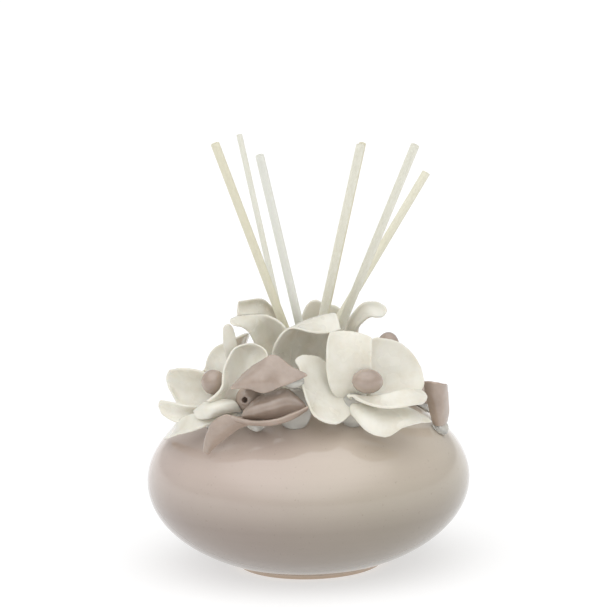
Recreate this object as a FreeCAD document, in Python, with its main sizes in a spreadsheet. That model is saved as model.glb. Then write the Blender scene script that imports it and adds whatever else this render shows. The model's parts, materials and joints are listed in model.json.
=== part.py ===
import FreeCAD, Part
import math
import os
from FreeCAD import Placement, Rotation, Vector

# A reed diffuser: a squat, hollow, glazed ceramic vessel with a small mouth, scented
# oil inside, seven reeds that stand in the mouth, and hand-formed porcelain flowers
# bonded around the mouth with clear glue.  Millimetres.  The origin is the middle of
# the foot ring on the table, +Z is up and the front of the piece faces -Y.

os.makedirs("parts", exist_ok=True)
doc = FreeCAD.newDocument("reed_diffuser")

SIZES = [
    ("vessel_radius", 66.0),
    ("vessel_half_height", 38.0),
    ("vessel_centre_height", 35.5),
    ("cavity_radius", 61.5),
    ("cavity_half_height", 31.5),
    ("cavity_centre_height", 36.5),
    ("mouth_radius", 13.0),
    ("mouth_top_height", 80.0),
    ("foot_radius", 29.8),
    ("foot_top_radius", 32.0),
    ("foot_height", 2.4),
    ("foot_recess_radius", 24.5),
    ("foot_recess_depth", 1.2),
    ("oil_level", 17.0),
    ("oil_clearance", 0.3),
    ("reed_bore_clearance", 0.4),
    ("reed_radius", 1.75),
    ("thin_reed_radius", 1.25),
    ("slim_reed_radius", 1.4),
    ("petal_root_thickness", 1.9),
    ("petal_tip_thickness", 1.1),
    ("bud_hole_radius", 1.2),
    ("bud_hole_depth", 5.0),
]

sheet = doc.addObject("Spreadsheet::Sheet", "sizes")
for row, (alias, value) in enumerate(SIZES, start=1):
    sheet.set("A%d" % row, alias)
    sheet.set("B%d" % row, str(value))
    sheet.setAlias("B%d" % row, alias)
doc.recompute()

nodes = []


def size(alias):
    return float(sheet.get(alias))


def keep(feature, label):
    """Name a finished sub-part and put it on the list of files to write."""
    feature.Label = label
    nodes.append(feature)
    return feature


def bind(feature, **cells):
    for prop, expression in cells.items():
        feature.setExpression(prop, expression)


def ellipsoid(name, radius_x, radius_y, radius_z, centre, turn=Rotation()):
    """An ellipsoid whose three radii are numbers or expressions on the sheet."""
    body = doc.addObject("Part::Ellipsoid", name)
    for prop, value in (("Radius2", radius_x), ("Radius3", radius_y), ("Radius1", radius_z)):
        if isinstance(value, str):
            body.setExpression(prop, value)
        else:
            setattr(body, prop, value)
    body.Placement = Placement(centre, turn)
    return body


def boolean(kind, name, base, tool):
    result = doc.addObject("Part::" + kind, name)
    result.Base = base
    result.Tool = tool
    return result


# ---------------------------------------------------------------- vessel
# One thrown ceramic piece: a hollow ellipsoid on a low foot ring with a recess.

centre_height = Vector(0, 0, size("vessel_centre_height"))
cavity_height = Vector(0, 0, size("cavity_centre_height"))


def vessel_outside(name):
    return ellipsoid(
        name, "sizes.vessel_radius", "sizes.vessel_radius", "sizes.vessel_half_height",
        centre_height)


def table_cut(name, height):
    """A block that takes away everything below the given height."""
    block = doc.addObject("Part::Box", name)
    block.Length = 200
    block.Width = 200
    block.Height = 50
    block.Placement = Placement(Vector(-100, -100, height - 50), Rotation())
    return block


foot = doc.addObject("Part::Cone", "foot_cone")
bind(foot, Radius1="sizes.foot_radius", Radius2="sizes.foot_top_radius",
     Height="sizes.foot_height")

recess = doc.addObject("Part::Cylinder", "foot_recess")
bind(recess, Radius="sizes.foot_recess_radius", Height="sizes.foot_recess_depth")

cavity = ellipsoid(
    "cavity", "sizes.cavity_radius", "sizes.cavity_radius", "sizes.cavity_half_height",
    cavity_height)

mouth = doc.addObject("Part::Cylinder", "mouth_bore")
mouth.Placement = Placement(centre_height, Rotation())
bind(mouth, Radius="sizes.mouth_radius",
     Height="sizes.mouth_top_height - sizes.vessel_centre_height")

with_foot = boolean("Fuse", "body_and_foot", vessel_outside("outer_wall"), foot)
stood = boolean("Cut", "cut_at_table", with_foot, table_cut("below_table", 0.0))
recessed = boolean("Cut", "recessed_foot", stood, recess)
hollowed = boolean("Cut", "hollowed", recessed, cavity)
opened = boolean("Cut", "opened_mouth", hollowed, mouth)
doc.recompute()


def is_mouth_rim(edge):
    rim_height = edge.BoundBox.ZMin
    rim_width = edge.BoundBox.XLength
    on_bore = abs(rim_width - 2 * size("mouth_radius")) < 0.1
    return on_bore and edge.BoundBox.ZLength < 0.1 and rim_height > 60


vessel = doc.addObject("Part::Fillet", "vessel")
vessel.Base = opened
vessel.Edges = [
    (number, 1.6, 1.6)
    for number, edge in enumerate(opened.Shape.Edges, start=1)
    if is_mouth_rim(edge)
]
keep(vessel, "vessel")

# ---------------------------------------------------------------- reeds
# Each reed is a round stick, given by the middle of its top end and a point low in the
# cavity that its axis aims at.  It reaches down to the cavity floor.

FLOOR_CLEARANCE = 0.3

REEDS = [
    ("reed_front_left", "reed_radius", (-33.27, -31.31, 176.31), (23.01, 7.04, 6.44)),
    ("reed_back_left", "thin_reed_radius", (-25.11, 28.36, 173.85), (9.95, -24.66, 6.56)),
    ("reed_front_middle", "reed_radius", (-15.84, -39.92, 172.11), (16.24, 19.26, 6.71)),
    ("reed_right_inner", "reed_radius", (23.52, -24.94, 173.72), (-15.22, 14.84, 5.83)),
    ("reed_right_outer", "reed_radius", (45.06, -22.18, 172.93), (-21.42, 24.25, 8.81)),
    ("reed_back_right", "reed_radius", (51.89, 33.40, 155.71), (-41.55, -13.38, 13.82)),
    ("reed_right_slim", "slim_reed_radius", (24.45, -20.96, 174.09), (-13.62, 19.06, 5.94)),
]


def floor_point(top, aim, radius):
    """Where a reed's axis ends so that its end face just clears the cavity wall."""
    direction = (aim - top).normalize()
    inset = radius + FLOOR_CLEARANCE
    scale_xy = 1.0 / (size("cavity_radius") - inset)
    scale_z = 1.0 / (size("cavity_half_height") - inset)
    start = top - cavity_height
    p = Vector(start.x * scale_xy, start.y * scale_xy, start.z * scale_z)
    q = Vector(direction.x * scale_xy, direction.y * scale_xy, direction.z * scale_z)
    a = q.dot(q)
    b = 2 * p.dot(q)
    c = p.dot(p) - 1
    travel = (-b + math.sqrt(b * b - 4 * a * c)) / (2 * a)
    return top + direction * travel


reed_lines = []
for label, radius_cell, top, aim in REEDS:
    top = Vector(*top)
    bottom = floor_point(top, Vector(*aim), size(radius_cell))
    along = top - bottom
    reed = doc.addObject("Part::Cylinder", label)
    reed.Height = along.Length
    reed.setExpression("Radius", "sizes." + radius_cell)
    reed.Placement = Placement(bottom, Rotation(Vector(0, 0, 1), along))
    keep(reed, label)
    reed_lines.append((label, bottom, top, radius_cell))

# ---------------------------------------------------------------- scented oil
# The oil fills the bottom of the cavity and leaves room for each reed.

oil_pool = ellipsoid(
    "oil_pool",
    "sizes.cavity_radius - sizes.oil_clearance",
    "sizes.cavity_radius - sizes.oil_clearance",
    "sizes.cavity_half_height - sizes.oil_clearance",
    cavity_height)
air = doc.addObject("Part::Box", "air_over_oil")
air.Length = 200
air.Width = 200
air.Height = 100
air.Placement = Placement(Vector(-100, -100, size("oil_level")), Rotation())
oil = boolean("Cut", "oil_to_level", oil_pool, air)
for label, bottom, top, radius_cell in reed_lines:
    along = (top - bottom).normalize()
    bore = doc.addObject("Part::Cylinder", "oil_bore_" + label)
    bore.Height = 60
    bore.setExpression("Radius", "sizes.%s + sizes.reed_bore_clearance" % radius_cell)
    bore.Placement = Placement(bottom - along * 12, Rotation(Vector(0, 0, 1), along))
    oil = boolean("Cut", "oil_round_" + label, oil, bore)
keep(oil, "fragrance_oil")

# ---------------------------------------------------------------- petals
# A petal is a thin curved sheet.  Its midrib runs through a few points from root to
# tip, its hollow side looks along "face", and cross sections bend by "cup" degrees.

ROWS = 13
COLUMNS = 9
SAME_WAY = 1  # both edges of a ruled face run in the same direction


def chord_knots(points):
    """Where each midrib point lies along the midrib, from 0 at the root to 1."""
    knots = [0.0]
    for a, b in zip(points, points[1:]):
        knots.append(knots[-1] + (b - a).Length)
    return [k / knots[-1] for k in knots]


def curve_through(points):
    """A smooth curve that passes its points at even steps."""
    steps = len(points) - 1
    curve = Part.BSplineCurve()
    curve.interpolate(Points=points, Parameters=[i / steps for i in range(steps + 1)])
    return curve


def surface_through(grid):
    """A smooth surface through a grid of points, at even steps both ways."""
    along_rows = [curve_through(row) for row in grid]
    pole_columns = zip(*[curve.getPoles() for curve in along_rows])
    across_rows = [curve_through(list(column)) for column in pole_columns]
    poles = [list(row) for row in zip(*[curve.getPoles() for curve in across_rows])]
    surface = Part.BSplineSurface()
    surface.buildFromPolesMultsKnots(
        poles,
        across_rows[0].getMultiplicities(), along_rows[0].getMultiplicities(),
        across_rows[0].getKnots(), along_rows[0].getKnots(),
        False, False, across_rows[0].Degree, along_rows[0].Degree)
    return surface


class Sheet:
    """A thin curved sheet.  Each kind says where its middle surface runs."""

    def faces_of_sheet(self, t, v):
        """The two points of the sheet's outer faces on either side of the middle."""
        along = self.middle(t + 0.01, v) - self.middle(t - 0.01, v)
        across = self.middle(t, v + 0.03) - self.middle(t, v - 0.03)
        normal = across.cross(along).normalize()
        thick = size("petal_root_thickness") * (1 - t) + size("petal_tip_thickness") * t
        offset = normal * (0.5 * thick * (1 - 0.3 * v * v))
        middle = self.middle(t, v)
        return middle + offset, middle - offset

    def solid(self):
        """The upper and lower faces of the sheet, closed by ruled faces round the rim."""
        upper = []
        lower = []
        for row in range(ROWS):
            t = row / (ROWS - 1)
            points = [
                self.faces_of_sheet(t, -1 + 2 * column / (COLUMNS - 1))
                for column in range(COLUMNS)
            ]
            upper.append([pair[0] for pair in points])
            lower.append([pair[1] for pair in points])
        top = surface_through(upper)
        bottom = surface_through(lower)
        u0, u1, v0, v1 = top.bounds()
        s0, s1, w0, w1 = bottom.bounds()
        rims = [
            (top.vIso(v0), bottom.vIso(w0)),
            (top.vIso(v1), bottom.vIso(w1)),
            (top.uIso(u0), bottom.uIso(s0)),
            (top.uIso(u1), bottom.uIso(s1)),
        ]
        skin = [top.toShape(), bottom.toShape()]
        skin += [Part.makeRuledSurface(a.toShape(), b.toShape(), SAME_WAY) for a, b in rims]
        sewn = Part.Compound(skin)
        sewn.sewShape(0.001)
        closed = Part.Solid(sewn.Shells[0])
        return closed if closed.Volume > 0 else closed.reversed()


class Petal(Sheet):
    """A petal laid out along a midrib."""

    def __init__(self, points, face, width, widest=0.55, neck=0.35, end=0.5, taper=2.2,
                 cup=(30, 30), ripple=(0, 0), rounding=0.75, rise=1.0):
        self.points = [Vector(*p) for p in points]
        self.knots = chord_knots(self.points)
        self.length = self.measure_midrib()
        faces = face if isinstance(face[0], tuple) else (face, face)
        self.faces = [Vector(*f).normalize() for f in faces]
        self.half = 0.5 * width
        self.widest = widest
        self.neck = neck
        self.end = end
        self.taper = taper
        self.cup = cup
        self.ripple = ripple
        self.rounding = rounding
        self.rise = rise

    def midrib(self, t):
        """The smooth curve through the midrib points."""
        total = Vector()
        for i, point in enumerate(self.points):
            weight = 1.0
            for j, knot in enumerate(self.knots):
                if j != i:
                    weight *= (t - knot) / (self.knots[i] - knot)
            total += point * weight
        return total

    def measure_midrib(self):
        steps = 12
        marks = [self.midrib(i / steps) for i in range(steps + 1)]
        return sum((b - a).Length for a, b in zip(marks, marks[1:]))

    def half_width(self, t):
        if t < self.widest:
            swell = math.sin(0.5 * math.pi * max(t, 0.0) / self.widest) ** self.rise
            return self.half * (self.neck + (1 - self.neck) * swell)
        past = (t - self.widest) / (1 - self.widest)
        return self.half * (1 - (1 - self.end) * past ** self.taper)

    def middle(self, t, v):
        """A point of the sheet's middle surface, v from -1 to 1 across the petal."""
        reach = self.half_width(t) * v
        set_back = self.rounding * self.half_width(1.0) / self.length
        u = t - set_back * v * v * t ** 3
        along = (self.midrib(u + 0.01) - self.midrib(u - 0.01)).normalize()
        looks = self.faces[0] * (1 - u) + self.faces[1] * u
        hollow = (looks - along * looks.dot(along)).normalize()
        side = along.cross(hollow)
        bend = math.radians(self.cup[0] * (1 - t) + self.cup[1] * t) / self.half
        out = math.sin(reach * bend) / bend
        up = (1 - math.cos(reach * bend)) / bend
        edge = reach / self.half
        height, phase = self.ripple
        up += height * edge * abs(edge) * math.sin(2 * math.pi * t + math.radians(phase))
        return self.midrib(u) + side * out + hollow * up


class Leaf(Sheet):
    """A petal laid out by ribs from its root to its tip.

    Each rib is an arc through three points: one rim, the middle and the other rim.
    """

    def __init__(self, ribs):
        self.ribs = [[Vector(*point) for point in rib] for rib in ribs]

    def on_rib(self, rib, v):
        one_rim, centre, other_rim = rib
        return (one_rim * (0.5 * v * (v - 1)) + centre * (1 - v * v)
                + other_rim * (0.5 * v * (v + 1)))

    def middle(self, t, v):
        """A smooth curve through the points of all ribs at the same v."""
        marks = [self.on_rib(rib, v) for rib in self.ribs]
        spans = len(marks) - 1
        first = min(max(int(math.floor(t * spans)), 0), spans - 1)
        s = t * spans - first
        marks = [marks[0] * 2 - marks[1]] + marks + [marks[-1] * 2 - marks[-2]]
        p, q, r, w = marks[first:first + 4]
        bend = p * 2 - q * 5 + r * 4 - w
        twist = q * 3 - r * 3 + w - p
        return q + ((r - p) * s + bend * (s * s) + twist * (s ** 3)) * 0.5


shoulder = vessel_outside("shoulder")
doc.recompute()


def add_sheet(label, thin_sheet):
    """The sheet's solid, trimmed where it meets the shoulder of the vessel."""
    trimmed = thin_sheet.solid().cut(shoulder.Shape)
    feature = doc.addObject("Part::Feature", label)
    feature.Shape = max(trimmed.Solids, key=lambda solid: solid.Volume)
    return keep(feature, label)


def add_petal(label, points, face, width, **shape):
    return add_sheet(label, Petal(points, face, width, **shape))


def add_leaf(label, ribs):
    return add_sheet(label, Leaf(ribs))


def add_bud(label, centre, radii, turn=Rotation()):
    return keep(ellipsoid(label, *radii, Vector(*centre), turn), label)


def spread(flower, root, axis, petals, first=1):
    """Petals that open from one root.  Each has a clock angle, length, width, opening."""
    root = Vector(*root)
    axis = Vector(*axis).normalize()
    level = Vector(0, 0, 1).cross(axis).normalize()
    upward = axis.cross(level)
    for number, (clock, length, width, opening) in enumerate(petals, start=first):
        turn = math.radians(clock)
        outward = level * math.cos(turn) + upward * math.sin(turn)
        wide = math.radians(opening)
        early = 0.75 * wide
        start = root + outward * 1.5
        middle = start + (axis * math.cos(early) + outward * math.sin(early)) * length * 0.55
        tip = start + (axis * math.cos(wide) + outward * math.sin(wide)) * length
        inward = axis * math.sin(wide) - outward * math.cos(wide)
        add_petal(
            "%s_petal_%d" % (flower, number), [start, middle, tip], tuple(inward), width,
            neck=0.4, end=0.55, taper=2.4, cup=(35, 35))


# White flower at the front right: five petals round a taupe bud.
add_petal("right_white_petal_1", [(18, -38, 74.5), (17, -41, 89.5), (18, -37, 102)],
          (0, -1, 0.1), 18.5, widest=0.45, neck=0.55, end=0.93, taper=4, cup=(25, 30),
          rounding=0.25)
add_leaf("right_white_petal_2", [
    [(22.5, -40, 80.5), (24.5, -38, 76.5), (27.5, -40, 74.5)],
    [(23, -39, 87.5), (28.5, -35, 80), (34.5, -39, 75.5)],
    [(24, -38, 94.5), (32.5, -33, 85), (42, -38, 76)],
    [(27, -36, 99), (36.5, -32, 90), (46.5, -35, 79)],
    [(34, -33.5, 98), (41, -32, 93), (46, -32.5, 85.5)],
])
add_leaf("right_white_petal_3", [
    [(17.5, -45, 70.5), (16.5, -41.5, 73.5), (14.5, -39, 76.5)],
    [(11.5, -52, 68), (11, -44.5, 73), (12.5, -37, 77.5)],
    [(3, -54, 72), (5.5, -44, 77), (12, -35, 81.5)],
    [(-1, -51, 81), (2.5, -43, 83.5), (10.5, -34.5, 87)],
    [(-2.5, -46, 88.5), (0.5, -41, 90), (5.5, -35.5, 91.5)],
    [(-4.5, -43, 91.5), (-3.5, -41, 93), (-0.5, -38.5, 93.5)],
])
add_leaf("right_white_petal_4", [
    [(16.5, -40, 77.5), (17, -40.5, 76.5), (18, -41, 75)],
    [(16.5, -45, 78.5), (17, -45.5, 78), (17.5, -46, 77.5)],
    [(23, -46, 78), (23.5, -49, 76), (24, -52, 75.5)],
    [(31, -47, 79), (31, -50.5, 76), (30.5, -54, 74.5)],
    [(39, -45, 80), (39, -49, 77), (38.5, -52.5, 74.5)],
    [(45, -42, 79), (47, -45, 76.5), (44.5, -48, 74)],
])
add_leaf("right_white_petal_5", [
    [(18, -40, 74), (17.5, -41, 71), (18.5, -41, 68.5)],
    [(19, -44, 74), (18, -46, 72), (18.5, -48, 69.5)],
    [(24.5, -43, 74.5), (23, -50, 70), (23, -53, 65)],
    [(32, -43, 74), (31, -51, 68.5), (31, -54, 63)],
    [(39.5, -41, 72), (39, -48.5, 70), (38.5, -52, 66.5)],
    [(47.5, -40, 67.5), (48, -42, 67), (49, -44, 66.5)],
])
add_bud("right_white_bud", (24, -45, 83.5), (6.2, 5.0, 4.8))

# White flower at the top centre: a tall hood and two arching petals.
add_leaf("centre_white_petal_1", [
    [(-9, -30, 76), (-2.5, -26, 73.5), (4.5, -28, 74.5)],
    [(-13, -34, 90), (-2.5, -20.5, 84), (9.5, -24, 83.5)],
    [(-11.5, -36, 98), (-1, -20, 94.5), (13, -25, 94.5)],
    [(-7, -36.5, 103), (3, -24.5, 105), (12.5, -27, 107.5)],
    [(-2.5, -38, 104), (6, -35.5, 101), (14.5, -33.5, 102)],
])
add_leaf("centre_white_petal_2", [
    [(-17.5, -24, 77.5), (-13.5, -22, 76.5), (-9, -24, 77.5)],
    [(-19, -25, 91), (-12.5, -17, 90.5), (-5.5, -24, 92.5)],
    [(-21, -27, 98.5), (-14.5, -18, 99.5), (-8, -23, 102)],
    [(-24, -31, 103), (-19.5, -24, 105.5), (-16.5, -22, 107)],
    [(-27.5, -35, 105), (-29.5, -32, 106.5), (-26.5, -28, 107.5)],
])
add_petal("centre_white_petal_3", [(-27, -22, 82), (-29.5, -28, 95), (-30.5, -31, 105)],
          (0.2, 1, 0), 6, widest=0.5, neck=0.7, end=0.7, cup=(25, 25))

# White flower at the left: six petals round a taupe bud.
add_leaf("left_white_petal_1", [
    [(-37, -30, 84), (-36.5, -27, 78), (-37.5, -31, 73)],
    [(-42.5, -29, 86), (-43.5, -24.5, 78), (-44, -30, 71.5)],
    [(-49, -27, 87), (-50.5, -22, 79), (-50.5, -28, 72.5)],
    [(-54.5, -24, 86), (-56, -21.5, 81.5), (-54, -25, 77.5)],
])
add_leaf("left_white_petal_2", [
    [(-37, -34, 73.5), (-36.5, -32.5, 70), (-37, -36, 67.5)],
    [(-45, -33.5, 73), (-45, -31, 69), (-45, -35, 66.5)],
    [(-52.5, -31, 74), (-53, -29, 70), (-52, -33, 66.5)],
    [(-58, -28, 74.5), (-59, -27, 72), (-57.5, -30, 69)],
])
add_petal("left_white_petal_3", [(-25, -37, 72.5), (-39, -41, 69.5), (-57, -12.5, 56)],
          (-0.2, -0.8, 0.6), 8, widest=0.5, neck=0.5, end=0.3, taper=2.0)
add_leaf("left_white_petal_4", [
    [(-28.5, -40.5, 76), (-27, -43, 74.5), (-25.5, -42, 72)],
    [(-34.5, -41, 76.5), (-33, -46, 75), (-31, -45, 72)],
    [(-40.5, -41, 75.5), (-39, -46, 73.5), (-38, -45, 70)],
    [(-44.5, -39, 72), (-44, -41, 71), (-43, -41, 69)],
])
add_leaf("left_white_petal_5", [
    [(-39, -45, 77), (-31, -39, 75), (-24, -37, 76)],
    [(-33, -44, 82), (-27, -36, 80.5), (-20.5, -38, 81.5)],
    [(-32, -41, 89), (-24.5, -33, 88), (-17, -37, 87.5)],
    [(-28.5, -38, 95.5), (-21.5, -31, 94), (-14.5, -36, 92.5)],
    [(-22.5, -35, 97.5), (-19, -33, 97), (-15.5, -34, 95.5)],
])
add_petal("left_white_petal_6", [(-27.5, -24, 73.5), (-34, -20, 84.5), (-27.5, -16, 94.5)],
          (-0.3, -1, 0), 13, widest=0.55, neck=0.4, end=0.5, taper=2.4)
add_bud("left_white_bud", (-36.5, -33, 82), (4.8, 4.8, 5.0))

# Taupe flower at the front: a saddle leaf over a pierced bud, two folded petals
# below it and one that droops over the shoulder.
add_leaf("front_taupe_petal_1", [
    [(-29, -50, 82.5), (-28.5, -50, 83), (-28, -49, 83.5)],
    [(-23, -53, 83), (-23, -52.5, 86), (-23, -47, 89)],
    [(-16, -54, 81.5), (-16.5, -54, 88), (-17.5, -46, 92.5)],
    [(-8.5, -53, 84), (-9, -50, 89), (-11.5, -46, 95)],
    [(-3, -53, 86), (-4, -51.5, 87.5), (-5.5, -48, 90.5)],
    [(0.5, -53, 87.5), (0.5, -53, 88), (0, -52.5, 88.5)],
])
add_petal("front_taupe_petal_2", [(-21, -42, 81), (-22, -45, 85.5), (-23, -45.5, 89)],
          (0, -1, 0.1), 8, widest=0.5, neck=0.5, end=0.8, cup=(20, 20), rounding=0.3)
add_leaf("front_taupe_petal_3", [
    [(-25.5, -50, 71), (-25, -50.5, 72.5), (-23.5, -49, 74)],
    [(-19, -50, 70.5), (-19.5, -51.5, 74.5), (-19, -47, 78)],
    [(-12.5, -49, 70.5), (-12.5, -51, 76.5), (-12.5, -45.5, 80.5)],
    [(-6, -47.5, 72), (-6, -48.5, 77), (-7, -44.5, 81)],
    [(-0.5, -48.5, 74), (-0.5, -48.5, 75), (-0.5, -48, 76)],
])
add_leaf("front_taupe_petal_4", [
    [(-29.5, -52, 72.5), (-28.5, -50.5, 71), (-27, -47, 71)],
    [(-22, -55, 71), (-21.5, -51.5, 69), (-20.5, -47, 70.5)],
    [(-13, -57.5, 71.5), (-13.5, -52.5, 69), (-14, -46, 71.5)],
    [(-6, -56.5, 73.5), (-6.5, -51.5, 70.5), (-7.5, -45, 73.5)],
    [(0.5, -54, 76), (0.5, -50.5, 74), (0, -47, 75)],
])
add_leaf("front_taupe_petal_5", [
    [(-25, -51.5, 71), (-23.5, -49.5, 69.5), (-22, -48, 68)],
    [(-31.5, -51.5, 73), (-29.5, -51, 70), (-26.5, -48, 66.5)],
    [(-37, -50.5, 70), (-34.5, -50.5, 67), (-31.5, -47, 63)],
    [(-39.5, -48, 64), (-38, -48.5, 62.5), (-35.5, -46, 59.5)],
    [(-41, -45, 58), (-40, -45, 56.5), (-38.5, -45, 56)],
])

bud_centre = Vector(-22, -40, 76.5)
pierced_bud = ellipsoid("pierced_bud", 6.0, 6.0, 5.5, bud_centre)
needle = doc.addObject("Part::Cylinder", "bud_hole")
bind(needle, Radius="sizes.bud_hole_radius", Height="sizes.bud_hole_depth + 2")
needle_way = Vector(-0.35, -1, 0.1).normalize()
needle_start = bud_centre + needle_way * (6.0 - size("bud_hole_depth"))
needle.Placement = Placement(needle_start, Rotation(Vector(0, 0, 1), needle_way))
keep(boolean("Cut", "pierced", pierced_bud, needle), "front_taupe_bud")

# White flower behind the front right one, with one tall curling petal.
add_leaf("back_right_white_petal_1", [
    [(22.5, 9, 73.5), (25.5, 11.5, 73), (28.5, 10, 73.5)],
    [(17, 9, 81), (19.5, 12, 81), (23, 10, 81)],
    [(16.5, 8, 95), (18.5, 10, 94), (21.5, 6, 94)],
    [(20, 7, 102), (21.5, 8, 100), (23.5, 4, 98)],
    [(24.5, 7, 106), (25.5, 6.5, 103.5), (27, 2, 100.5)],
    [(29.5, 6, 106.5), (29.5, 4.5, 103), (29, 1, 100.5)],
    [(33, 4, 104.5), (33.5, 3, 102.5), (32, 1.5, 100.5)],
])
spread("back_right_white", (30, -7, 80), (0.6, 0.5, 0.6),
       [(-5, 22, 17, 80), (-75, 24, 18, 72), (190, 18, 14, 80)], first=2)
add_bud("back_right_white_bud", (33.5, -6, 88.5), (5.2, 5.2, 7.5))

# Taupe flower at the right, low on the shoulder.
add_leaf("right_taupe_petal_1", [
    [(51, -15.5, 59.6), (53.5, -17.5, 59), (56, -14, 59.6)],
    [(49.5, -16, 65), (53, -19, 65.5), (57, -13.5, 64.5)],
    [(48, -16, 71.5), (52, -19.5, 72), (57, -13.5, 70)],
    [(47, -16, 77.5), (52, -19.5, 77.5), (56.5, -13.5, 75.5)],
])
spread("right_taupe", (46, 8, 60.5), (0.75, 0.35, 0.6),
       [(-60, 15, 12, 55), (20, 20, 14, 60)], first=2)
add_bud("right_taupe_bud", (48, 9.5, 66.5), (4, 4, 4))

# White flower at the back left, with one petal that curls over the top.
add_leaf("back_left_white_petal_1", [
    [(-18.5, 12.5, 74.5), (-16, 14, 74), (-13.5, 13.5, 74.5)],
    [(-13.5, 12, 85), (-11, 15, 85), (-8, 13, 85)],
    [(-14.5, 8.5, 97), (-12, 12.5, 97.5), (-9, 12, 98)],
    [(-17, 3, 101.5), (-15.8, 7, 103.8), (-14.2, 6.3, 106.3)],
    [(-19, -2.5, 103.5), (-18.5, 2, 106.5), (-17, 1.5, 109.5)],
    [(-23.5, -6, 104), (-23, -2, 107), (-22, -2.5, 110)],
    [(-27.5, -8.5, 104), (-27, -5.5, 107), (-26.5, -6, 110)],
])
spread("back_left_white", (-30, 22, 67.5), (-0.5, 0.45, 0.75),
       [(-75, 26, 18, 62), (10, 24, 18, 76), (80, 27, 18, 64)], first=2)
add_bud("back_left_white_bud", (-33, 25, 74), (5, 5, 5))

# White flower at the back: two tall petals behind the reeds and three open ones.
add_petal("back_white_petal_1", [(2, 24, 71.5), (5.5, 29, 91.5), (3.5, 27, 104.5)],
          (0, -1, 0.1), 17, widest=0.6, neck=0.4, end=0.7, taper=2.4, cup=(35, 35))
add_petal("back_white_petal_2", [(10, 24, 71.5), (11.5, 24, 92), (10, 22, 103)],
          (0, -1, 0.1), 17, widest=0.6, neck=0.4, end=0.7, taper=2.4, cup=(35, 35))
spread("back_white", (4, 36, 66), (0.05, 0.8, 0.7),
       [(-20, 28, 20, 62), (70, 26, 20, 64), (160, 28, 20, 62)], first=3)
add_bud("back_white_bud", (4.5, 42, 73), (5, 5, 5))

# Two taupe petals tucked low at the back.
spread("back_taupe", (-14, 44, 60), (-0.4, 0.75, 0.5),
       [(0, 20, 14, 60), (235, 18, 13, 60)])

# ---------------------------------------------------------------- clear glue
# Beads of clear glue hold the flower roots on the shoulder.  They follow its curve.

BEADS = [
    ((18.5, -38, 71), (6.5, 6.5, 7.5)),
    ((-2, -24, 73), (7, 5.5, 4.5)),
    ((-28, -31.5, 70.5), (7, 9, 7)),
    ((-38.2, -31, 68.5), (2.9, 3.3, 6)),
    ((-5, -41, 72), (7, 4.5, 9)),
    ((-20, -42.5, 70), (5, 4.5, 6)),
    ((30.5, -5, 74), (6.5, 7, 10)),
    ((27, 10, 71), (3.5, 3.5, 3.5)),
    ((53.5, -14.5, 57.5), (3.4, 3.8, 3.6)),
    ((-16, -48, 86), (4.5, 6, 4)),
    ((-5, -48, 84.5), (4.5, 4, 2.5)),
    ((46, 8, 60.5), (4.5, 4.5, 4)),
    ((-30, 22, 67.5), (5, 5, 4.5)),
    ((-18, 12, 72.5), (3.5, 3.5, 3.5)),
    ((-16, -12, 73.5), (3.5, 3.5, 3.5)),
    ((4, 36, 66), (5, 5, 4.5)),
    ((6, 24.5, 71), (7, 4, 3.5)),
    ((-14, 44, 60), (4.5, 4.5, 4)),
]

drops = [
    ellipsoid("glue_drop_%d" % number, *radii, Vector(*centre))
    for number, (centre, radii) in enumerate(BEADS, start=1)
]
glue = doc.addObject("Part::MultiFuse", "all_glue")
glue.Shapes = drops
keep(boolean("Cut", "glue_on_shoulder", glue, shoulder), "clear_glue")

# ---------------------------------------------------------------- check and write

doc.recompute()
for item in doc.Objects:
    if "Invalid" in item.State or "Error" in item.State:
        raise RuntimeError("%s failed: %s" % (item.Label, item.State))
for node in nodes:
    if node.Shape.isNull() or not node.Shape.isValid():
        raise RuntimeError("%s has no valid shape" % node.Label)

for node in nodes:
    node.Shape.exportStep("parts/%s.step" % node.Label)
    print(node.Label, round(node.Shape.Volume, 1), len(node.Shape.Solids))
for label, bottom, top, _ in reed_lines:
    print(label, "length", round((top - bottom).Length, 1))
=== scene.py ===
import json
import math

import bmesh
import bpy
import numpy as np
from mathutils import Matrix, Vector, noise


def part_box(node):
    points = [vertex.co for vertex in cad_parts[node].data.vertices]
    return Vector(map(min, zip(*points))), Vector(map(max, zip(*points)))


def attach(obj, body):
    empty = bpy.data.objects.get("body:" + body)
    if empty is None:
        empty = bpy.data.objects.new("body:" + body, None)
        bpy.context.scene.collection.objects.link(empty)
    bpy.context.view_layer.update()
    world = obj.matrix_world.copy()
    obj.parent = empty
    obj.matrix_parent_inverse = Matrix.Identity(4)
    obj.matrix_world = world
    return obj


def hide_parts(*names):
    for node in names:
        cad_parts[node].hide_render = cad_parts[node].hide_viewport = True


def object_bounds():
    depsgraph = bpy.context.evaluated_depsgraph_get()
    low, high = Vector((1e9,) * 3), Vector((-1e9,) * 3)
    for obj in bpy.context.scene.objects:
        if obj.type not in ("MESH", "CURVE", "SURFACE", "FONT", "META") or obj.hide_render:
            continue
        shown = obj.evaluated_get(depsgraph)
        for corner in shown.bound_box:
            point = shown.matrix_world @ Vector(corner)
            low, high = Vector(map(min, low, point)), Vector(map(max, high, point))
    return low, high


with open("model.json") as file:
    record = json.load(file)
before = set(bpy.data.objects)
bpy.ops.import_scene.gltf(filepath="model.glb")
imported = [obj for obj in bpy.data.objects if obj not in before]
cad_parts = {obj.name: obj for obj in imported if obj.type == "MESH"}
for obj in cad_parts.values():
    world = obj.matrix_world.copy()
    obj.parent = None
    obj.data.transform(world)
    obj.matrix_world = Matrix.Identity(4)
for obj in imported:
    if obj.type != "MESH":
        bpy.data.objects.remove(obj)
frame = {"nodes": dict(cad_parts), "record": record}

# A glazed ceramic reed diffuser: a squat vessel, hand-formed porcelain flowers bonded
# round its mouth with clear glue, seven reeds and the oil they stand in.  Metres.

cad_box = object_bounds()

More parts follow.
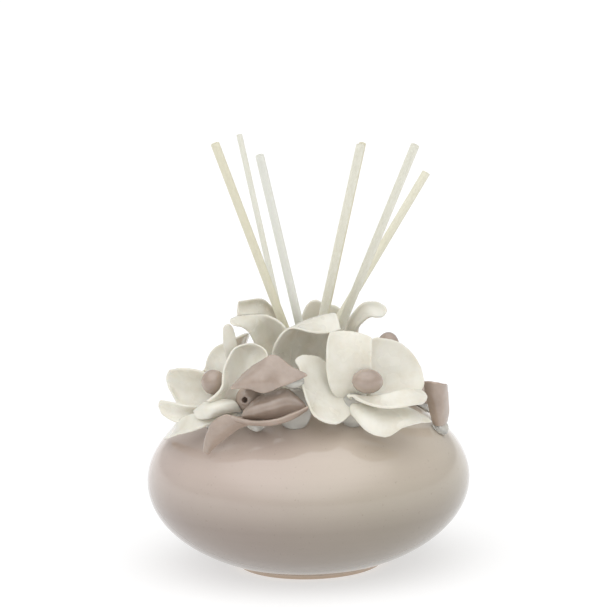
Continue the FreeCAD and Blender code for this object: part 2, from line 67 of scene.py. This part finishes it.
# The soft light.  Edges are cosines of the angle from the key light's middle, and the
# glow at the horizon fades between two heights on the unit sphere.
KEY_DIRECTION = (-0.05, -0.42, 0.906)
KEY_EDGE, KEY_FULL = 0.50, 0.92
KEY_STRENGTH, FILL_STRENGTH = 1.62, 0.55
HORIZON_STRENGTH, HORIZON_FULL, HORIZON_FADE = 1.0, 0.03, 0.24
FLOOR_REACH = 6.0

# The thrown vessel, whose outside and inside are each part of an ellipse.
OUTER_MIDDLE, OUTER_HALF_HEIGHT = 0.0355, 0.038
INNER_RADIUS, INNER_MIDDLE, INNER_HALF_HEIGHT = 0.0615, 0.0365, 0.0315
MOUTH_RADIUS, LIP = 0.013, 0.0016
GLAZE_BOTTOM, WIDE_RADIUS = 0.0027, 0.034
VESSEL_SIDES, OUTER_STEPS, LIP_STEPS, NECK_STEPS, INNER_STEPS = 200, 110, 8, 5, 70

# The reeds.  Each groove is a number of lobes round the reed and their depth.
REED_SIDES, REED_RINGS = 48, 90
GROOVES = ((2, 0.012), (5, 0.010), (11, 0.012), (17, 0.012))
END_ROUNDING, FIRST_STATION, CUT_ROUGHNESS, CUT_DISH = 0.12, 0.0006, 0.00006, 0.00008
CUT_LOOPS = (0.75, 0.4)

# The hand-formed pieces.  The seed fixes their unevenness, so every run gives the same.
HAND_SEED = 7
VOXEL, PETAL_PASSES, GLUE_PASSES = 0.00042, 5, 8
REED_CLEARANCE, CALM_WIDTH = 0.0004, 0.003
SHEET_WAVE, SHEET_HEIGHT = 0.011, 0.00045
RIM_WAVE, RIM_HEIGHT = 0.0045, 0.00022
RIM_SHRINK = 0.00022

record = frame["record"]
bodies = record["behaviour"]["bodies"]
reed_bodies = [body for body in bodies if body.startswith("reed_")]
cad = frame["nodes"]


# ---------------------------------------------------------------- camera and stage

def add_camera():
    """Slightly above the piece, with a long lens and a slight roll."""
    aim = Vector((0.0003, 0.0, 0.1067))
    elevation = math.radians(9.3)
    distance = 1.048
    roll = math.radians(1.37)
    forward = Vector((0, math.cos(elevation), -math.sin(elevation)))
    level_right = Vector((1, 0, 0))
    level_up = Vector((0, math.sin(elevation), math.cos(elevation)))
    right = level_right * math.cos(roll) - level_up * math.sin(roll)
    up = level_right * math.sin(roll) + level_up * math.cos(roll)
    data = bpy.data.cameras.new("camera")
    data.sensor_width = 36
    data.lens = 152.6
    data.clip_end = 20
    camera = bpy.data.objects.new("camera", data)
    place = Matrix((right, up, -forward)).transposed().to_4x4()
    place.translation = aim - forward * distance
    camera.matrix_world = place
    bpy.context.scene.collection.objects.link(camera)
    bpy.context.scene.camera = camera


def smooth_range(tree, value, lows, highs):
    """A smooth step of value from lows[0] to highs[0], giving lows[1] to highs[1]."""
    node = tree.nodes.new("ShaderNodeMapRange")
    node.interpolation_type = "SMOOTHSTEP"
    node.inputs["From Min"].default_value = lows[0]
    node.inputs["From Max"].default_value = highs[0]
    node.inputs["To Min"].default_value = lows[1]
    node.inputs["To Max"].default_value = highs[1]
    tree.links.new(value, node.inputs["Value"])
    return node.outputs["Result"]


def add_world():
    """Soft studio light: broad and bright overhead and in front, dimmer at the sides."""
    world = bpy.data.worlds.new("studio")
    world.use_nodes = True
    tree = world.node_tree
    background = tree.nodes["Background"]
    background.inputs["Color"].default_value = (1, 1, 1, 1)
    where = tree.nodes.new("ShaderNodeTexCoord").outputs["Generated"]
    towards_key = tree.nodes.new("ShaderNodeVectorMath")
    towards_key.operation = "DOT_PRODUCT"
    towards_key.inputs[1].default_value = KEY_DIRECTION
    tree.links.new(where, towards_key.inputs[0])
    key = smooth_range(tree, towards_key.outputs["Value"],
                       (KEY_EDGE, FILL_STRENGTH), (KEY_FULL, KEY_STRENGTH))
    direction = tree.nodes.new("ShaderNodeSeparateXYZ")
    tree.links.new(where, direction.inputs[0])
    horizon = smooth_range(tree, direction.outputs["Z"],
                           (HORIZON_FULL, HORIZON_STRENGTH), (HORIZON_FADE, 0.0))
    brighter = tree.nodes.new("ShaderNodeMath")
    brighter.operation = "MAXIMUM"
    tree.links.new(key, brighter.inputs[0])
    tree.links.new(horizon, brighter.inputs[1])
    tree.links.new(brighter.outputs["Value"], background.inputs["Strength"])
    bpy.context.scene.world = world


class Nodes:
    """Short calls for building one material's node tree."""

    def __init__(self, name):
        self.material = bpy.data.materials.new(name)
        self.material.use_nodes = True
        self.tree = self.material.node_tree
        self.shader = self.tree.nodes["Principled BSDF"]
        self.where = self.add("ShaderNodeTexCoord").outputs["Object"]

    def add(self, kind, **settings):
        node = self.tree.nodes.new(kind)
        for key, value in settings.items():
            setattr(node, key, value)
        return node

    def link(self, source, target):
        self.tree.links.new(source, target)

    def set(self, **values):
        for key, value in values.items():
            self.shader.inputs[key.replace("_", " ")].default_value = value

    def noise(self, scale, detail=3, stretch=None, distortion=0.0, roughness=0.5):
        node = self.add("ShaderNodeTexNoise")
        node.inputs["Scale"].default_value = scale
        node.inputs["Detail"].default_value = detail
        node.inputs["Distortion"].default_value = distortion
        node.inputs["Roughness"].default_value = roughness
        self.link(self.stretched(stretch) if stretch else self.where,
                  node.inputs["Vector"])
        return node.outputs["Fac"]

    def stretched(self, scale):
        node = self.add("ShaderNodeMapping")
        node.inputs["Scale"].default_value = scale
        self.link(self.where, node.inputs["Vector"])
        return node.outputs["Vector"]

    def ramp(self, value, stops):
        node = self.add("ShaderNodeValToRGB")
        elements = node.color_ramp.elements
        while len(elements) < len(stops):
            elements.new(0.5)
        for element, (position, colour) in zip(elements, stops):
            element.position = position
            element.color = (*colour, 1)
        self.link(value, node.inputs["Fac"])
        return node.outputs["Color"]

    def mix(self, factor, a, b, kind="MIX"):
        """Colour a turning to colour b.  The sockets for factor, a and b are 0, 6 and 7."""
        node = self.add("ShaderNodeMix", data_type="RGBA", blend_type=kind)
        for index, value in ((0, factor), (6, a), (7, b)):
            if isinstance(value, bpy.types.NodeSocket):
                self.link(value, node.inputs[index])
            elif isinstance(value, tuple):
                node.inputs[index].default_value = (*value, 1)
            else:
                node.inputs[index].default_value = value
        return node.outputs[2]

    def math(self, kind, a, b):
        node = self.add("ShaderNodeMath", operation=kind)
        for index, value in enumerate((a, b)):
            if isinstance(value, bpy.types.NodeSocket):
                self.link(value, node.inputs[index])
            else:
                node.inputs[index].default_value = value
        return node.outputs[0]

    def range(self, value, low, high, to_low=0.0, to_high=1.0):
        return smooth_range(self.tree, value, (low, to_low), (high, to_high))

    def coordinate(self, axis):
        node = self.add("ShaderNodeSeparateXYZ")
        self.link(self.where, node.inputs[0])
        return node.outputs[axis]

    def attribute(self, name):
        return self.add("ShaderNodeAttribute", attribute_name=name).outputs["Fac"]

    def bump(self, heights, distance, strength=1.0, normal=None):
        node = self.add("ShaderNodeBump")
        node.inputs["Strength"].default_value = strength
        node.inputs["Distance"].default_value = distance
        self.link(heights, node.inputs["Height"])
        if normal is not None:
            self.link(normal, node.inputs["Normal"])
        return node.outputs["Normal"]


# ---------------------------------------------------------------- materials

def taupe_glaze_with_painted_shade():
    """Clouded, speckled glaze, with painted shade that darkens it towards the bottom, and a
    bare clay foot.
    """
    n = Nodes("vessel_glaze")
    broad = n.noise(9.0, detail=2)
    leaning = n.math("ADD", n.coordinate("X"), n.math("MULTIPLY", broad, 0.06))
    leaning = n.range(leaning, -0.03, 0.09)
    tint = n.mix(leaning, (0.580, 0.475, 0.425), (0.560, 0.490, 0.400))
    cloud = n.noise(38.0, detail=4, roughness=0.6)
    tint = n.mix(n.range(cloud, 0.35, 0.7, 0.0, 0.22), tint, (0.64, 0.545, 0.470))
    band = n.noise(1.0, detail=3, stretch=(3, 3, 260))
    tint = n.mix(n.range(band, 0.4, 0.75, 0.0, 0.16), tint, (0.50, 0.420, 0.350))
    speck = n.noise(900.0, detail=1)
    tint = n.mix(n.range(speck, 0.68, 0.78, 0.0, 0.25), tint, (0.30, 0.23, 0.18))
    height = n.coordinate("Z")
    # Painted shade: the glaze colour is multiplied darker towards the bottom and left full
    # at the shoulder, standing in for light falling from above.
    depth = n.ramp(n.range(height, 0.004, 0.058),
                   [(0.0, (0.47, 0.47, 0.46)), (0.40, (0.51, 0.505, 0.495)),
                    (0.72, (0.77, 0.78, 0.775)), (1.0, (1.0, 1.0, 1.0))])
    tint = n.mix(1.0, tint, depth, "MULTIPLY")
    edge = n.math("ADD", height, n.math("MULTIPLY", n.noise(120.0), 0.0012))
    bare = n.range(edge, 0.0031, 0.0026)
    tint = n.mix(bare, tint, (0.50, 0.385, 0.29))
    n.link(tint, n.shader.inputs["Base Color"])
    n.link(n.range(bare, 0.0, 1.0, 0.06, 0.75), n.shader.inputs["Roughness"])
    throwing = n.noise(1.0, detail=2, stretch=(2, 2, 180))
    dimple = n.noise(46.0, detail=2)
    normal = n.bump(throwing, 0.00012)
    normal = n.bump(dimple, 0.00016, normal=normal)
    n.link(normal, n.shader.inputs["Normal"])
    n.set(IOR=1.52, Coat_Weight=0.35, Coat_Roughness=0.03)
    return n.material


def porcelain(name, deep, middle, pale, rim, roughness, gloss):
    """Glazed hand-formed clay: mottled, with a different tint where the rim is thin."""
    n = Nodes(name)
    mottled = n.noise(85.0, detail=4, roughness=0.6)
    tint = n.ramp(mottled, [(0.3, deep), (0.52, middle), (0.72, pale)])
    streak = n.noise(210.0, detail=3, stretch=(1, 1, 0.35), distortion=0.6)
    tint = n.mix(n.range(streak, 0.45, 0.8, 0.0, 0.25), tint, pale)
    tint = n.mix(n.range(n.attribute("rim"), 0.25, 0.8, 0.0, 0.65), tint, rim)
    n.link(tint, n.shader.inputs["Base Color"])
    uneven = n.noise(60.0, detail=3)
    n.link(n.range(uneven, 0.3, 0.7, roughness * 0.75, roughness * 1.3),
           n.shader.inputs["Roughness"])
    pressed = n.noise(130.0, detail=2)
    scratch = n.noise(420.0, detail=4, stretch=(1, 1, 0.25), distortion=0.4)
    normal = n.bump(pressed, 0.00050, 0.9)
    normal = n.bump(scratch, 0.00008, 0.5, normal)
    n.link(normal, n.shader.inputs["Normal"])
    n.set(IOR=1.5, Coat_Weight=gloss, Coat_Roughness=0.05, Subsurface_Weight=0.12,
          Subsurface_Scale=0.002)
    n.shader.inputs["Subsurface Radius"].default_value = (1.0, 0.7, 0.45)
    return n.material


def clear_glue_material():
    """Slightly cloudy clear glue."""
    n = Nodes("clear_glue")
    cloudy = n.noise(300.0, detail=2)
    n.link(n.range(cloudy, 0.3, 0.7, 0.03, 0.12), n.shader.inputs["Roughness"])
    n.link(n.bump(n.noise(160.0), 0.0002, 0.4), n.shader.inputs["Normal"])
    n.link(n.ramp(cloudy, [(0.3, (0.93, 0.925, 0.89)), (0.7, (0.86, 0.85, 0.80))]),
           n.shader.inputs["Base Color"])
    n.set(IOR=1.42, Transmission_Weight=0.6)
    return n.material


def oil_material():
    """Pale yellow scented oil."""
    n = Nodes("scented_oil")
    n.link(n.ramp(n.noise(20.0), [(0.3, (0.97, 0.90, 0.66)), (0.7, (0.95, 0.86, 0.58))]),
           n.shader.inputs["Base Color"])
    n.set(IOR=1.45, Roughness=0.02, Transmission_Weight=0.95)
    return n.material


def reed_material():
    """Pale rattan: fine fibres along the reed, yellower patches, open pores on the ends."""
    n = Nodes("reed_wood")
    along = n.attribute("along")
    around = n.attribute("around")
    joined = n.add("ShaderNodeCombineXYZ")
    n.link(n.math("MULTIPLY", around, 26.0), joined.inputs[0])
    n.link(n.math("MULTIPLY", along, 5.0), joined.inputs[1])
    fibres = n.add("ShaderNodeTexNoise")
    fibres.inputs["Scale"].default_value = 1.0
    fibres.inputs["Detail"].default_value = 4
    n.link(joined.outputs[0], fibres.inputs["Vector"])
    fibre = fibres.outputs["Fac"]
    tint = n.ramp(fibre, [(0.30, (0.72, 0.69, 0.54)), (0.5, (0.84, 0.825, 0.71)),
                          (0.70, (0.90, 0.89, 0.82))])
    patches = n.noise(26.0, detail=2)
    tint = n.mix(n.range(patches, 0.45, 0.72, 0.0, 0.4), tint, (0.80, 0.76, 0.56))
    yellowed = n.attribute("yellowed")
    tint = n.mix(n.range(yellowed, 0.0, 1.0, 0.0, 0.6), tint, (0.78, 0.73, 0.53))
    tint = n.mix(n.range(yellowed, 0.0, -1.0, 0.0, 0.6), tint, (0.80, 0.82, 0.79))
    pores = n.add("ShaderNodeTexVoronoi")
    pores.inputs["Scale"].default_value = 2600.0
    n.link(n.where, pores.inputs["Vector"])
    pore = n.range(pores.outputs["Distance"], 0.12, 0.35)
    end = n.attribute("cut_end")
    tint = n.mix(n.math("MULTIPLY", end, n.math("SUBTRACT", 1.0, pore)), tint,
                 (0.42, 0.36, 0.22))
    n.link(tint, n.shader.inputs["Base Color"])
    n.link(n.bump(fibre, 0.00018, 0.9), n.shader.inputs["Normal"])
    n.set(Roughness=0.62, IOR=1.45)
    return n.material


def floor_material():
    """A pale floor that gives off a little light, so it stays white under the piece."""
    n = Nodes("pale_floor")
    n.link(n.ramp(n.noise(3.0), [(0.3, (0.50, 0.50, 0.50)), (0.7, (0.52, 0.52, 0.52))]),
           n.shader.inputs["Base Color"])
    n.set(Roughness=0.9, Specular_IOR_Level=0.0, Emission_Color=(1, 1, 1, 1),
          Emission_Strength=0.56)
    return n.material


glaze = taupe_glaze_with_painted_shade()
white = porcelain("white_porcelain", (0.69, 0.65, 0.54), (0.765, 0.74, 0.65),
                  (0.81, 0.795, 0.72), (0.82, 0.79, 0.70), 0.26, 0.5)
taupe = porcelain("taupe_porcelain", (0.335, 0.258, 0.205), (0.40, 0.315, 0.258),
                  (0.46, 0.37, 0.305), (0.56, 0.45, 0.37), 0.12, 1.0)
glue = clear_glue_material()
wood = reed_material()

# ---------------------------------------------------------------- reeds

def reed_axis(node):
    """The middle of a CAD reed's bottom end, the middle of its top end, its radius."""
    points = np.array([v.co for v in cad[node].data.vertices], float)
    centre = points.mean(0)
    along = np.linalg.svd(points - centre, full_matrices=False)[2][0]
    if along[2] < 0:
        along = -along
    reach = (points - centre) @ along
    low = centre + along * reach.min()
    high = centre + along * reach.max()
    off = points - centre - np.outer(reach, along)
    return Vector(low), Vector(high), float(np.linalg.norm(off, axis=1).max())


reeds = {body: reed_axis(body) for body in reed_bodies}


def new_object(name, mesh):
    piece = bpy.data.objects.new(name, mesh)
    bpy.context.scene.collection.objects.link(piece)
    return piece


def add_attribute(mesh, name, values):
    layer = mesh.attributes.new(name, "FLOAT", "POINT")
    layer.data.foreach_set("value", np.asarray(values, np.float32))


def shade_smooth(mesh):
    mesh.polygons.foreach_set("use_smooth", [True] * len(mesh.polygons))


YELLOWED = {  # how far each reed's colour leans to yellow, or below 0 to a cool white
    "reed_front_left": 0.8, "reed_back_left": -0.5, "reed_front_middle": -0.8,
    "reed_right_inner": -0.1, "reed_right_slim": 0.9, "reed_right_outer": -0.3,
    "reed_back_right": 0.5,
}


def build_reed(body, seed):
    """A stick with fibrous, uneven sides and slightly dished, rough cut ends."""
    low, high, radius = reeds[body]
    length = (high - low).length
    along = (high - low).normalized()
    side = along.orthogonal().normalized()
    other = along.cross(side)
    rng = np.random.default_rng(seed)
    groove = np.zeros(REED_SIDES)
    angles = np.arange(REED_SIDES) * 2 * math.pi / REED_SIDES
    for lobes, depth in GROOVES:
        groove += depth * np.sin(lobes * angles + rng.uniform(0, 2 * math.pi))
    verts, along_at, around_at, end_at = [], [], [], []

    def add_vertex(place, lengthwise, round_it, end):
        verts.append(place)
        along_at.append(lengthwise)
        around_at.append(round_it)
        end_at.append(end)

    def out_from(place, angle, r):
        return place + side * (r * math.cos(angle)) + other * (r * math.sin(angle))

    stations = ([0.0, FIRST_STATION]
                + [i / (REED_RINGS - 1) for i in range(1, REED_RINGS - 1)]
                + [1 - FIRST_STATION, 1.0])
    for t in stations:
        shrink = 1 - END_ROUNDING if t in (0.0, 1.0) else 1.0
        for k, angle in enumerate(angles):
            uneven = noise.noise(Vector((math.cos(angle) * 1.5, math.sin(angle) * 1.5,
                                         t * 9 + seed * 7.3)))
            r = radius * shrink * (0.965 + groove[k] * 0.8 + 0.012 * uneven)
            add_vertex(out_from(low + along * (length * t), angle, r),
                       t * length * 100 + seed * 3,
                       math.sin(angle) + 0.6 * math.cos(2 * angle), 0.0)
    faces = []
    for ring in range(len(stations) - 1):
        for k in range(REED_SIDES):
            a = ring * REED_SIDES + k
            b = ring * REED_SIDES + (k + 1) % REED_SIDES
            faces.append((a, b, b + REED_SIDES, a + REED_SIDES))
    for ring, t in ((0, 0.0), (len(stations) - 1, 1.0)):
        inwards = -1 if t else 1
        loops = [ring * REED_SIDES]
        for share in CUT_LOOPS:
            loops.append(len(verts))
            for k, angle in enumerate(angles):
                rough = noise.noise(Vector((k * 0.7, share * 9, seed + t * 5)))
                depth = inwards * CUT_ROUGHNESS * (1 + rough)
                add_vertex(out_from(low + along * (length * t + depth), angle,
                                    radius * share * 0.97),
                           t * length * 100, share, 1.0)
        centre = len(verts)
        add_vertex(low + along * (length * t + inwards * CUT_DISH), 0, 0, 1.0)
        for a0, b0 in zip(loops, loops[1:]):
            for k in range(REED_SIDES):
                k1 = (k + 1) % REED_SIDES
                quad = (a0 + k, a0 + k1, b0 + k1, b0 + k)
                faces.append(quad if t else quad[::-1])
        for k in range(REED_SIDES):
            tri = (loops[-1] + k, loops[-1] + (k + 1) % REED_SIDES, centre)
            faces.append(tri if t else tri[::-1])
    mesh = bpy.data.meshes.new(body + "_stick")
    mesh.from_pydata([tuple(v) for v in verts], [], faces)
    add_attribute(mesh, "yellowed", [YELLOWED[body]] * len(verts))
    add_attribute(mesh, "along", along_at)
    add_attribute(mesh, "around", around_at)
    add_attribute(mesh, "cut_end", end_at)
    shade_smooth(mesh)
    piece = new_object(body + "_stick", mesh)
    mesh.materials.append(wood)
    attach(piece, body)
    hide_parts(body)


for number, body in enumerate(reed_bodies, start=1):
    build_reed(body, number)

# ---------------------------------------------------------------- vessel

def on_ellipse(radius, half, centre, r):
    """The height at which the upper half of an ellipse has radius r."""
    return centre + half * math.sqrt(max(0.0, 1 - (r / radius) ** 2))


def vessel_profile():
    """Radius and height, from the foot's middle up the outside and down the inside."""
    low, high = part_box("vessel")
    outer_radius = (high.x - low.x) / 2
    profile = [(0.0, 0.0012), (0.008, 0.0012), (0.016, 0.0012), (0.0240, 0.0012),
               (0.0245, 0.0009), (0.0246, 0.0003), (0.0249, 0.00005), (0.0255, 0.0),
               (0.0275, 0.0), (0.0290, 0.0), (0.0296, 0.00015), (0.02995, 0.0006),
               (0.0308, 0.0014), (0.0316, 0.0020)]
    start = math.asin((OUTER_MIDDLE - GLAZE_BOTTOM) / OUTER_HALF_HEIGHT)
    lip_z = on_ellipse(outer_radius, OUTER_HALF_HEIGHT, OUTER_MIDDLE, MOUTH_RADIUS + LIP)
    stop = math.asin((lip_z - OUTER_MIDDLE) / OUTER_HALF_HEIGHT)
    for i in range(OUTER_STEPS + 1):
        angle = -start + (stop + start) * i / OUTER_STEPS
        profile.append((outer_radius * math.cos(angle),
                        OUTER_MIDDLE + OUTER_HALF_HEIGHT * math.sin(angle)))
    for i in range(1, LIP_STEPS + 1):
        turn = math.pi / 2 * i / LIP_STEPS
        profile.append((MOUTH_RADIUS + LIP - LIP * math.sin(turn),
                        lip_z - LIP * (1 - math.cos(turn))))
    neck_top = lip_z - LIP
    neck_low = on_ellipse(INNER_RADIUS, INNER_HALF_HEIGHT, INNER_MIDDLE, MOUTH_RADIUS)
    for i in range(1, NECK_STEPS):
        profile.append((MOUTH_RADIUS, neck_top + (neck_low - neck_top) * (i / NECK_STEPS)))
    begin = math.asin((neck_low - INNER_MIDDLE) / INNER_HALF_HEIGHT)
    for i in range(INNER_STEPS + 1):
        angle = begin + (-math.pi / 2 - begin) * i / INNER_STEPS
        profile.append((max(0.0, INNER_RADIUS * math.cos(angle)),
                        INNER_MIDDLE + INNER_HALF_HEIGHT * math.sin(angle)))
    return profile


def build_vessel():
    """The thrown body, turned from one profile and never quite round on its wide part."""
    bm = bmesh.new()
    rows = []
    for r, z in vessel_profile():
        if r < 1e-6:
            rows.append([bm.verts.new((0, 0, z))])
            continue
        row = []
        for k in range(VESSEL_SIDES):
            angle = 2 * math.pi * k / VESSEL_SIDES
            across, back = math.cos(angle), math.sin(angle)
            wobble = noise.noise(Vector((across * 1.2, back * 1.2, z * 45)))
            inward = 0.00012 * (wobble - 0.6) if r > WIDE_RADIUS else 0.0
            row.append(bm.verts.new(((r + inward) * across, (r + inward) * back, z)))
        rows.append(row)
    for a, b in zip(rows, rows[1:]):
        for k in range(VESSEL_SIDES):
            k1 = (k + 1) % VESSEL_SIDES
            if len(a) == 1:
                bm.faces.new((a[0], b[k1], b[k]))
            elif len(b) == 1:
                bm.faces.new((a[k], a[k1], b[0]))
            else:
                bm.faces.new((a[k], a[k1], b[k1], b[k]))
    bmesh.ops.recalc_face_normals(bm, faces=bm.faces)
    mesh = bpy.data.meshes.new("thrown_vessel")
    bm.to_mesh(mesh)
    bm.free()
    shade_smooth(mesh)
    mesh.materials.append(glaze)
    piece = new_object("thrown_vessel", mesh)
    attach(piece, "diffuser")
    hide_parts("vessel")


build_vessel()

# ---------------------------------------------------------------- hand-formed pieces

def near_reed(points):
    """How far each point is from the nearest reed's surface."""
    nearest = np.full(len(points), 1.0)
    for low, high, radius in reeds.values():
        a, b = np.array(low), np.array(high)
        t = np.clip(((points - a) @ (b - a)) / ((b - a) @ (b - a)), 0, 1)
        gap = np.linalg.norm(points - a - t[:, None] * (b - a), axis=1) - radius
        nearest = np.minimum(nearest, gap)
    return nearest


def relaxed(points, edges, passes, factor=0.5):
    """Laplacian smoothing of points along edges."""
    count = np.bincount(edges.ravel(), minlength=len(points))[:, None]
    out = points.copy()
    for _ in range(passes):
        total = np.zeros_like(out)
        for axis in range(3):
            total[:, axis] = (
                np.bincount(edges[:, 0], out[edges[:, 1], axis], len(out))
                + np.bincount(edges[:, 1], out[edges[:, 0], axis], len(out)))
        out += factor * (total / np.maximum(count, 1) - out)
    return out


def formed_copy(node, name, passes):
    """A CAD node's shape as one even, rounded mesh."""
    mesh = cad[node].data.copy()
    mesh.name = name
    mesh.materials.clear()
    piece = new_object(name, mesh)
    weld = piece.modifiers.new("weld", "WELD")
    weld.merge_threshold = 1e-6
    remesh = piece.modifiers.new("remesh", "REMESH")
    remesh.mode = "VOXEL"
    remesh.voxel_size = VOXEL
    final = bpy.data.meshes.new_from_object(
        piece.evaluated_get(bpy.context.evaluated_depsgraph_get()))
    piece.modifiers.clear()
    piece.data = final
    final.name = name
    points = np.empty(len(final.vertices) * 3)
    final.vertices.foreach_get("co", points)
    points = points.reshape(-1, 3)
    edges = np.empty(len(final.edges) * 2, np.int64)
    final.edges.foreach_get("vertices", edges)
    edges = edges.reshape(-1, 2)
    smooth = relaxed(points, edges, passes)
    smooth = smooth + (smooth - relaxed(smooth, edges, 2)) * 0.5
    return piece, smooth, edges


def wander(points, wavelength, height, seed):
    """A smooth vector field that shifts nearby points together."""
    out = np.empty_like(points)
    for i, p in enumerate(points):
        q = Vector(p) / wavelength + Vector((seed, 2.0 * seed, 0))
        out[i] = noise.noise_vector(q)
    return out * height


def rim_amount(points, edges):
    """0 on the flat of a sheet, towards 1 on its thin rim."""
    moved = np.linalg.norm(points - relaxed(points, edges, 6), axis=1)
    spread_out = relaxed(np.repeat(moved[:, None], 3, axis=1), edges, 2)[:, 0]
    return np.clip(spread_out / RIM_SHRINK, 0, 1)


def build_formed(node, name, material, seed, passes=PETAL_PASSES):
    """One petal, bud or the glue, pressed a little uneven but calm near the reeds."""
    piece, points, edges = formed_copy(node, name, passes)
    rim = rim_amount(points, edges)
    calm = np.clip((near_reed(points) - REED_CLEARANCE) / CALM_WIDTH, 0, 1)[:, None]
    points = points + wander(points, SHEET_WAVE, SHEET_HEIGHT, seed) * calm
    points = points + wander(points, RIM_WAVE, RIM_HEIGHT, seed + 5) * calm * rim[:, None]
    points = np.clip(points, *(np.array(corner) for corner in cad_box))
    piece.data.vertices.foreach_set("co", points.ravel())
    piece.data.update()
    add_attribute(piece.data, "rim", rim)
    shade_smooth(piece.data)
    piece.data.materials.clear()
    piece.data.materials.append(material)
    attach(piece, "diffuser")
    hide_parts(node)


noise.seed_set(HAND_SEED)
for seed, node in enumerate(sorted(bodies["diffuser"]), start=1):
    if "_petal_" in node or node.endswith("_bud"):
        is_taupe = "taupe" in node or node.endswith("_bud")
        build_formed(node, node + "_formed", taupe if is_taupe else white,
                     seed)
    elif node == "clear_glue":
        build_formed(node, "clear_glue_beads", glue, seed, GLUE_PASSES)
    elif node == "fragrance_oil":
        cad[node].data.materials.clear()
        cad[node].data.materials.append(oil_material())

# ---------------------------------------------------------------- stage

add_camera()
add_world()

floor_mesh = bpy.data.meshes.new("floor")
floor_mesh.from_pydata([(-FLOOR_REACH, -FLOOR_REACH, 0), (FLOOR_REACH, -FLOOR_REACH, 0),
                        (FLOOR_REACH, FLOOR_REACH, 0), (-FLOOR_REACH, FLOOR_REACH, 0)],
                       [], [(0, 1, 2, 3)])
floor_mesh.materials.append(floor_material())
floor = new_object("floor", floor_mesh)

bpy.context.scene.view_settings.view_transform = "Standard"
